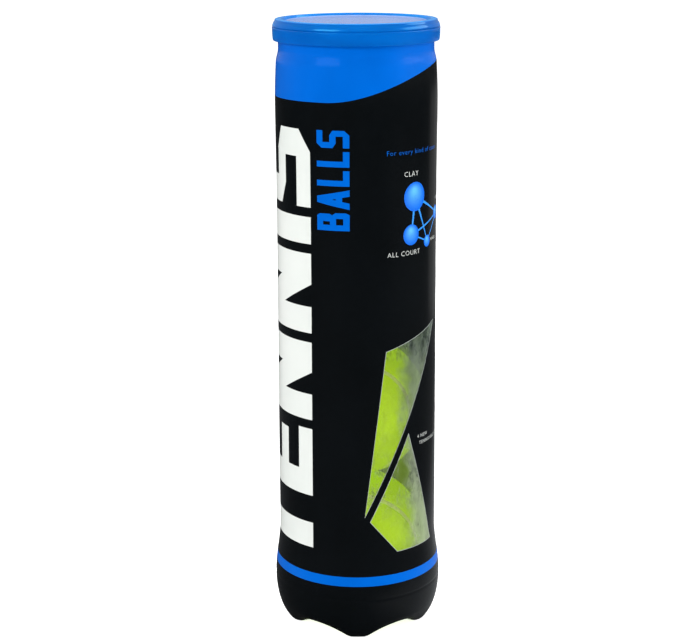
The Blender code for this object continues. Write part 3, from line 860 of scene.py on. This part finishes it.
def build_lap(film):
    """The glued lap of the film, a slim step down the back of the sleeve."""
    low, lap_middle, lap_half = 30.0, 176.0, degrees_of(2.6)
    raised, sunk, edge = 0.09, 0.01, 0.02
    rows = [*spread(low, 50, 2), *spread(50, 250, 5), *spread(250, SLEEVE_TOP_Z, 1.2), SLEEVE_TOP_Z]
    columns = [-1, -0.92, -0.5, 0, 0.5, 0.92, 1]
    points = []
    for height in (raised, sunk):
        for run in rows:
            for share in columns:
                rise = height if abs(share) < 0.95 else min(height, edge)
                points.append(offset_point(run, lap_middle + lap_half * share, -rise))
    wide = len(columns)
    corners = [i * wide + j for i in range(len(rows) - 1) for j in range(wide - 1)]
    sheet = [(a, a + 1, a + wide + 1, a + wide) for a in corners]
    obj = object_from("sleeve_lap", points, thickened(sheet, wide * len(rows)),
                      [film["black"], film["blue"]], sharp=40)
    for polygon in obj.data.polygons:
        x, y, z = polygon.center / MM
        blue = z > swoosh_z(math.degrees(math.atan2(x, -y))) or RING_LOW < z < RING_HIGH
        polygon.material_index = int(blue)
    return place(obj, "can", "printed_film")


def build_bottle(plastic):
    """The clear bottle with its flange, wall, five-footed base and the gate mark in the middle."""
    end = run_of_radius(SLEEVE_END_R - 0.2)
    covered = [run for run in sleeve_rows(end) if run <= NECK_Z][::-1]
    bare_radii = [29.35, *spread(PAD_OUTER_R, PAD_INNER_R, 0.7), *spread(PAD_INNER_R, 3.0, 0.8), 2.6]
    bare = [run_of_radius(radius) for radius in bare_radii]
    flange_z, flange_top, flange_r = 283.9, 284.4, 35.55
    gate_z = DOME_Z - 1.1
    inner_depth = BOTTLE_DEPTH + BOTTLE_WALL
    mouth_r, neck_r = NECK_R - inner_depth, NECK_R - BOTTLE_DEPTH
    neck = [(mouth_r, flange_top - 0.25), (mouth_r + 0.25, flange_top), (flange_r - 0.2, flange_top),
            (flange_r, flange_top - 0.2), (flange_r, flange_z + 0.15), (flange_r - 0.3, flange_z),
            (neck_r + 0.4, flange_z - 0.05), (neck_r, flange_z - 0.5)]
    gate = [(2.2, gate_z + 1.0), (1.9, gate_z + 0.2), (1.2, gate_z)]
    outer = [(run, BOTTLE_DEPTH) for run in covered] + [(run, 0.0) for run in bare]
    inner = [(run, BOTTLE_WALL) for run in bare[::-1]] + [(run, inner_depth) for run in covered[::-1]]
    segments = 180
    points, faces = [], []
    for i in range(segments):
        degrees = 360 * i / segments
        turn = math.radians(degrees)
        rings = [[Vector((r * math.sin(turn), -r * math.cos(turn), z)) for r, z in part]
                 for part in (neck, gate)]
        points += [*rings[0], *[offset_point(run, degrees, depth) for run, depth in outer], *rings[1]]
        points += [offset_point(run, degrees, depth) for run, depth in inner]
    stride = len(points) // segments
    gate_end = len(neck) + len(outer) + len(gate) - 1
    low_tip, high_tip = len(points), len(points) + 1
    points += [Vector((0, 0, gate_z)), Vector((0, 0, DOME_Z + BOTTLE_WALL))]
    for i in range(segments):
        a, b = i * stride, (i + 1) % segments * stride
        for j in range(stride):
            k = (j + 1) % stride
            if j == gate_end:
                faces += [(a + j, b + j, low_tip), (high_tip, b + k, a + k)]
            else:
                faces.append((a + j, b + j, b + k, a + k))
    obj = object_from("clear_bottle", points, faces, [plastic], sharp=50)
    return place(obj, "can", "clear_pet", "pet_bottle")


def offset_point(run, degrees, depth):
    here, normal = skin_and_normal(run, degrees)
    return here - normal * depth


def build_lid(skirt, rim, middle):
    """The snap lid: sunken middle, raised rim, a skirt with a ridge, and a bead that grips the seam."""
    top, bottom, wall = 287.0, 277.5, 0.85
    recess_r, middle_r = 33.2, 31.9
    rim_r, skirt_r, hem_r, inside_r = 36.2, 37.8, 37.5, 36.93
    floor = top - 1.2
    outline = [
        (0, floor), (10, floor), (24, floor), (29.4, floor), (29.7, floor + 0.12), (30.1, floor + 0.12),
        (30.4, floor), (30.9, floor), (31.15, floor + 0.3), (31.4, floor + 0.38), (31.65, floor + 0.3),
        (middle_r, floor), *arc((recess_r - 0.75, floor + 0.55), 0.55, -90, -10, 6),
        *arc((recess_r + 0.45, top - 0.4), 0.4, 170, 90, 6),
        *arc((rim_r - 0.3, top - 0.9), 0.9, 88, 40, 8), *arc((skirt_r - 4.0, top - 3.6), 3.9, 42, 6, 12),
        (skirt_r - 0.12, 283.95), (skirt_r - 0.3, 283.8), (skirt_r - 0.42, 283.6), (skirt_r - 0.3, 283.4),
        (skirt_r - 0.06, 283.3), (skirt_r + 0.06, 283.1), (skirt_r + 0.06, 282.9), (skirt_r - 0.04, 282.65),
        (skirt_r - 0.04, 281.6), (skirt_r - 0.08, 279.9), (hem_r + 0.08, 278.4),
        *arc((hem_r - 0.4, bottom + 0.4), 0.4, 0, -90, 6),
        (hem_r - wall + 0.25, bottom), (hem_r - wall, bottom + 0.3), (36.85, 280.4), (36.42, 281.1),
        (36.4, 281.5), (36.8, 282.0), (inside_r, 283.0), (inside_r, 285.0),
        *arc((rim_r - 0.3, top - 1.75), 0.95, 5, 88, 7),
        (recess_r + 0.6, top - wall), *arc((recess_r + 0.1, top - wall - 0.4), 0.4, 95, 180, 5),
        (recess_r - 0.4, floor - 0.35), (middle_r, floor - 0.6), (24, floor - 0.6), (0, floor - 0.6),
    ]
    kinds = [0] * len(outline)
    for j, (here, after) in enumerate(zip(outline, outline[1:] + outline[:1])):
        radius = max(here[0], after[0])
        if radius < middle_r + 0.05:
            kinds[j] = 2
        # the rim and the recess walls take the lighter copy of the plastic: painted light on the lid's upper
        # faces
        elif radius < 36.5 and min(here[1], after[1]) > floor - 0.5:
            kinds[j] = 1
    obj = turned("moulded_lid", outline, [skirt, rim, middle], 180, kinds, sharp=38)
    return place(obj, "snap_lid", "lid_plastic", "snap_lid")


def build_seam_ring(metal):
    """The rolled seam: a rounded top, a seaming wall with a faint step, and the chuck wall inside."""
    mouth, outside, top, low, skirt = 33.6, 36.2, 285.7, 281.2, 282.4
    outline = [
        (mouth, low), (mouth + 0.02, 283.2), (mouth, 284.6),
        *arc((mouth + 0.75, top - 0.75), 0.75, 180, 90, 8),
        *arc((outside - 0.8, top - 0.8), 0.8, 90, 0, 8),
        (outside, 283.6), (outside - 0.07, 283.3), (outside - 0.05, 282.8),
        *arc((outside - 0.22, skirt + 0.17), 0.17, 0, -180, 6),
        (outside - 0.39, 284.4), *arc((outside - 0.95, top - 0.95), 0.6, 5, 90, 5),
        *arc((mouth + 0.9, top - 0.95), 0.6, 90, 175, 5),
        (mouth + 0.25, 284.0), (mouth + 0.25, low + 0.1), (mouth + 0.12, low),
    ]
    return place(turned("rolled_seam", outline, [metal], 180), "can", "aluminium", "end_seam_ring")


def build_compound(rubber):
    low, high, inner, outer = 284.72, 285.02, 34.2, 35.5
    outline = [(inner, low + 0.08), (inner + 0.08, high), (outer - 0.08, high), (outer, high - 0.08),
               (outer - 0.05, low), (inner + 0.1, low)]
    return place(turned("gasket", outline, [rubber], 120), "can", "compound", "sealing_compound")


def build_panel(metal):
    """The tear-off panel: score line, stiffening groove, raised middle and two pressed rings."""
    z, step, sheet = 281.2, 0.5, 0.28
    upper = [
        (33.28, z - 0.06), (33.2, z), (32.98, z), (32.92, z - 0.1), (32.86, z), (32.66, z),
        *arc((32.25, z - 0.35), 0.35, 60, 0, 4),
        *arc((31.85, z - 0.68), 0.32, 0, -180, 8),
        *arc((31.1, z - 0.3), 0.3, 0, 90, 4),
        (27.9, z), (27.5, z + 0.04), (27.1, z + step - 0.06), (26.8, z + step),
        (18.2, z + step), (17.9, z + step - 0.16), (17.5, z + step - 0.16), (17.2, z + step),
        (0, z + step),
    ]
    outline = upper + [(radius, height - sheet) for radius, height in upper[::-1]]
    return place(turned("tear_off_panel", outline, [metal], 180), "end_panel", "aluminium", "end_panel")


def build_rivet(metal):
    low, head = 282.0, 282.7
    outline = [(0, head + 0.42), (0.9, head + 0.42), (1.1, head + 0.3), (1.9, head + 0.28),
               *arc((2.35, head + 0.12), 0.16, 70, -90, 6), (1.5, head), (1.5, low), (0, low)]
    obj = turned("rivet_button", outline, [metal], 48, centre=(0, RIVET_Y))
    return place(obj, "end_panel", "aluminium", "tab_rivet")


def superellipse(centre_y, half_width, half_length, count, power):
    def squared(value):
        return math.copysign(abs(value) ** (2 / power), value)

    turns = [2 * math.pi * i / count for i in range(count)]
    return [(half_width * squared(math.cos(a)), centre_y + half_length * squared(math.sin(a))) for a in turns]


def build_plate(name, metal, outlines, low, high, bevel):
    """A flat piece with holes: the first outline is its edge, and every edge is rolled round."""
    loops, points = [], []
    for outline in outlines:
        loops.append(list(range(len(points), len(points) + len(outline))))
        points.extend(Vector(p) for p in outline)
    flat, _, faces, _, _, held_by = delaunay_2d_cdt(points, [], loops, 0, 1e-6)
    bm = bmesh.new()
    verts = [bm.verts.new((p.x * MM, p.y * MM, low * MM)) for p in flat]
    for face, holders in zip(faces, held_by):
        if 0 in holders and len(holders) == 1:
            bm.faces.new([verts[i] for i in face])
    raised = bmesh.ops.extrude_face_region(bm, geom=list(bm.faces))
    moved = [item for item in raised["geom"] if isinstance(item, bmesh.types.BMVert)]
    bmesh.ops.translate(bm, verts=moved, vec=(0, 0, (high - low) * MM))
    loose = [v for v in bm.verts if not v.link_faces]
    bmesh.ops.delete(bm, geom=loose, context="VERTS")
    bmesh.ops.recalc_face_normals(bm, faces=bm.faces)
    rims = [e for e in bm.edges if len(e.link_faces) == 2 and e.calc_face_angle(0) > 1.2]
    bmesh.ops.bevel(bm, geom=rims, offset=bevel * MM, segments=3, affect="EDGES", profile=0.5)
    mesh = bpy.data.meshes.new(name)
    bm.to_mesh(mesh)
    bm.free()
    mesh.materials.append(metal)
    mesh.shade_smooth()
    mesh.set_sharp_from_angle(angle=math.radians(40))
    return new_object(name, mesh)


def build_tab(metal):
    """The ring-pull tab, with its finger hole and the window round its rivet, and the tongue."""
    def stretch(low, high, half, count, power):
        return superellipse(0.5 * (low + high), half, 0.5 * (high - low), count, power)

    low, tail, nose = 282.0, 2.5, 28.5
    outlines = [stretch(tail, nose, 8.5, 96, 2.5), superellipse(tail + 8.2, 5.6, 5.4, 64, 2.5),
                stretch(18.9, 27.4, 3.6, 48, 4)]
    tab = build_plate("ring_pull_tab", metal, outlines, low, low + 0.9, 0.35)
    place(tab, "pull_tab", "aluminium", "pull_tab")
    strip = [stretch(19.5, 26.8, 3.0, 48, 4), superellipse(RIVET_Y, 1.8, 1.8, 32, 2)]
    tongue = build_plate("tab_tongue_strip", metal, strip, low, low + 0.4, 0.1)
    place(tongue, "end_panel", "aluminium", "tab_tongue")


# Balls


def seam_line(t):
    wide, narrow = 1 - SEAM_SHARE, SEAM_SHARE
    return Vector((wide * math.cos(t) + narrow * math.cos(3 * t),
                   wide * math.sin(t) - narrow * math.sin(3 * t),
                   2 * math.sqrt(wide * narrow) * math.sin(2 * t)))


def beside_seam(t, shift):
    here = seam_line(t)
    heading = seam_line(t + 1e-3) - seam_line(t - 1e-3)
    return (here + here.cross(heading).normalized() * shift).normalized()


def nap(point, seed):
    """How far the felt's surface stands from its mean, in millimetres."""
    place_in = point * 33.0 + Vector((seed * 31.7, seed * 17.3, seed * 5.1))
    return 0.16 * noise.fractal(place_in * 0.55, 1.0, 2.0, 3) + 0.09 * noise.noise(place_in * 2.3)


def felt_panel(name, first, side, seed, felt):
    """One dumb-bell panel of felt, thick in the middle and rolled down at its edges."""
    steps, columns = 90, 40
    shift = side * (SEAM_HALF_WIDTH + SEAM_GAP) / BALL_R
    mirror = first * 2 + 2 * math.pi
    outer, inner, rows = [], [], []
    for i in range(steps + 1):
        t = first + math.pi * 0.5 * (1 - math.cos(math.pi * i / steps))
        left, right = beside_seam(t, shift), beside_seam(mirror - t, shift)
        ends = i in (0, steps)
        row = []
        width = BALL_R * left.angle(right, 0.0)
        for j in range(1 if ends else columns + 1):
            share = 0.5 * (1 - math.cos(math.pi * j / columns))
            point = left if ends else left.slerp(right, share)
            edge = 0.0 if ends else min(share, 1 - share) * width
            roll = 0.6 * (1 - min(edge / 1.3, 1.0)) ** 2
            row.append(len(outer))
            outer.append(point * (BALL_R - 0.2 - roll + nap(point, seed)))
            inner.append(point * FELT_R)
        rows.append(row if len(row) > 1 else row * (columns + 1))
    count = len(outer)
    faces = []
    for row, after in zip(rows, rows[1:]):
        for j in range(columns):
            ring = tuple(dict.fromkeys([row[j], row[j + 1], after[j + 1], after[j]]))
            faces += [ring, tuple(count + k for k in reversed(ring))]
    for edge in (0, -1):
        for row, after in zip(rows, rows[1:]):
            faces.append((row[edge], after[edge], count + after[edge], count + row[edge]))
    return object_from(name, outer + inner, faces, [felt], sharp=70)


def seam_strip(name, seed, cement):
    """The cement in the seam: a low rounded strip, slightly uneven."""
    steps, across = 260, 8
    shift = SEAM_HALF_WIDTH / BALL_R
    points, faces = [], []
    for i in range(steps):
        t = 2 * math.pi * i / steps
        for j in range(across + 1):
            share = 2 * j / across - 1
            point = beside_seam(t, shift * share)
            uneven = 0.06 * noise.noise(point * 40 + Vector((seed, 0, 0)))
            points.append(point * (SEAM_OUTER_R - 0.35 * share ** 2 + uneven))
        points += [beside_seam(t, shift) * FELT_R, beside_seam(t, -shift) * FELT_R]
    ring = across + 3
    for i in range(steps):
        a, b = i * ring, (i + 1) % steps * ring
        for j in range(ring):
            k = (j + 1) % ring
            faces.append((a + j, b + j, b + k, a + k))
    return object_from(name, points, faces, [cement], sharp=50)


def core_shell(name, rubber, upper):
    """Half of the rubber core, from just off the joint to the pole."""
    side = 1 if upper else -1
    low, steps = 0.15, 24
    outline = []
    for radius, order in ((CORE_R, range(steps + 1)), (CORE_INNER_R, range(steps, -1, -1))):
        first = math.asin(low / radius)
        for i in order:
            a = first + (math.pi / 2 - first) * i / steps
            outline.append((0 if i == steps else radius * math.cos(a), side * radius * math.sin(a)))
    return turned(name, outline, [rubber], 72)


def build_balls(felt, cement, rubber):
    for i in range(BALL_COUNT):
        ball = f"ball_{i + 1}"
        spin = Euler([math.radians(angle) for angle in BALL_TURNS[i]]).to_matrix().to_4x4()
        pose = Matrix.Translation((0, 0, (FIRST_BALL_Z + i * BALL_PITCH) * MM)) @ spin
        pieces = [
            (felt_panel(f"{ball}_nap_a", -math.pi / 4, 1, i, felt), "felt", "felt_a"),
            (felt_panel(f"{ball}_nap_b", math.pi / 4, -1, i + 9, felt), "felt", "felt_b"),
            (seam_strip(f"{ball}_seam_strip", i, cement), "seam_cement", "seam"),
            (core_shell(f"{ball}_shell_a", rubber, True), "core_rubber", "core_a"),
            (core_shell(f"{ball}_shell_b", rubber, False), "core_rubber", "core_b"),
        ]
        for obj, slot, node in pieces:
            obj.data.transform(pose)
            place(obj, ball, slot, f"{ball}_{node}")


# Studio


def build_studio():
    mesh = bpy.data.meshes.new("floor")
    mesh.from_pydata([(x, y, FLOOR_Z) for x, y in ((-9, -9), (9, -9), (9, 9), (-9, 9))], [], [(0, 1, 2, 3)])
    mesh.materials.append(floor_paper())
    new_object("floor", mesh)
    world = bpy.data.worlds.new("studio")
    bpy.context.scene.world = world
    world.use_nodes = True
    tree = world.node_tree
    tree.nodes.clear()
    output = tree.nodes.new("ShaderNodeOutputWorld")
    path = tree.nodes.new("ShaderNodeLightPath")
    shader = backdrop_light(tree, FILL_LIGHT)
    for ray, strength in (("Is Glossy Ray", MIRRORED_LIGHT), ("Is Camera Ray", 1.0)):
        mix = tree.nodes.new("ShaderNodeMixShader")
        for i, socket in enumerate((path.outputs[ray], shader, backdrop_light(tree, strength))):
            tree.links.new(socket, mix.inputs[i])
        shader = mix.outputs[0]
    tree.links.new(shader, output.inputs["Surface"])
    for name, place_at, size, power, mirrored in LIGHTS:
        data = bpy.data.lights.new(name, "AREA")
        data.shape = "RECTANGLE"
        data.size, data.size_y = size
        data.energy = power
        lamp = new_object(name, data)
        lamp.location = place_at
        lamp.rotation_euler = (LIT_POINT - Vector(place_at)).to_track_quat("-Z", "Y").to_euler()
        lamp.visible_glossy = mirrored
        lamp.visible_camera = False


def backdrop_light(tree, strength):
    light = tree.nodes.new("ShaderNodeBackground")
    light.inputs["Color"].default_value = (1, 1, 1, 1)
    light.inputs["Strength"].default_value = strength
    return light.outputs[0]


def build_camera():
    """The camera stands about 0.74 m from the can and a little above it, turned by a hair."""
    data = bpy.data.cameras.new("camera")
    data.sensor_width, data.lens = CAMERA_SENSOR, CAMERA_LENS
    data.clip_start, data.clip_end = 0.05, 50
    camera = new_object("camera", data)
    turns = [Matrix.Rotation(math.radians(angle), 4, axis) for angle, axis in CAMERA_TURNS]
    camera.matrix_world = Matrix.Translation(CAMERA_PLACE) @ turns[0] @ turns[1]
    bpy.context.scene.camera = camera
    bpy.context.scene.view_settings.view_transform = "Standard"


def main():
    build_camera()
    build_studio()
    film = {kind: printed_film(f"film_{kind}", *values) for kind, values in INKS.items()}
    # The last value, 0.52, is the strength of the painted shade and glare on the right of each window
    film["clear"] = clear_plastic("film_clear", (0.99, 0.995, 0.985, 1), 0.01, 0.12, 0.04, 0.52)
    film["backing"] = backing_ink()
    film["edge"] = dull_rubber("film_cut_edge", (60, 64, 68), 500.0, 0.5)
    metal = turned_metal("aluminium_end", (214, 216, 220), 0.24)
    tab_metal = turned_metal("aluminium_tab", (206, 208, 212), 0.3)
    build_bottle(clear_plastic("pet_clear", (0.995, 0.998, 0.995, 1), 0.0, 0.1, 0.15))
    build_sleeve(film)
    build_lap(film)
    build_seam_ring(metal)
    build_compound(dull_rubber("gasket_rubber", (150, 152, 154), 700.0, 0.6))
    build_panel(metal)
    build_rivet(tab_metal)
    build_tab(tab_metal)
    # The rim's plastic is a lighter copy of the skirt's: painted light where the lid faces up.
    build_lid(lid_plastic("lid_blue", (0, 88, 182), (0, 106, 206)),
              lid_plastic("lid_blue_rim_painted_light", (10, 128, 226), (36, 150, 240)), lid_window())
    # The seam cement's last value, 0.26, is painted light: it gives off light though it is no lamp.
    build_balls(felt_cloth(), dull_rubber("seam_cement", (222, 238, 130), 1500.0, 0.75, 0.26),
                dull_rubber("core_rubber", (64, 62, 60), 900.0, 0.75))


main()
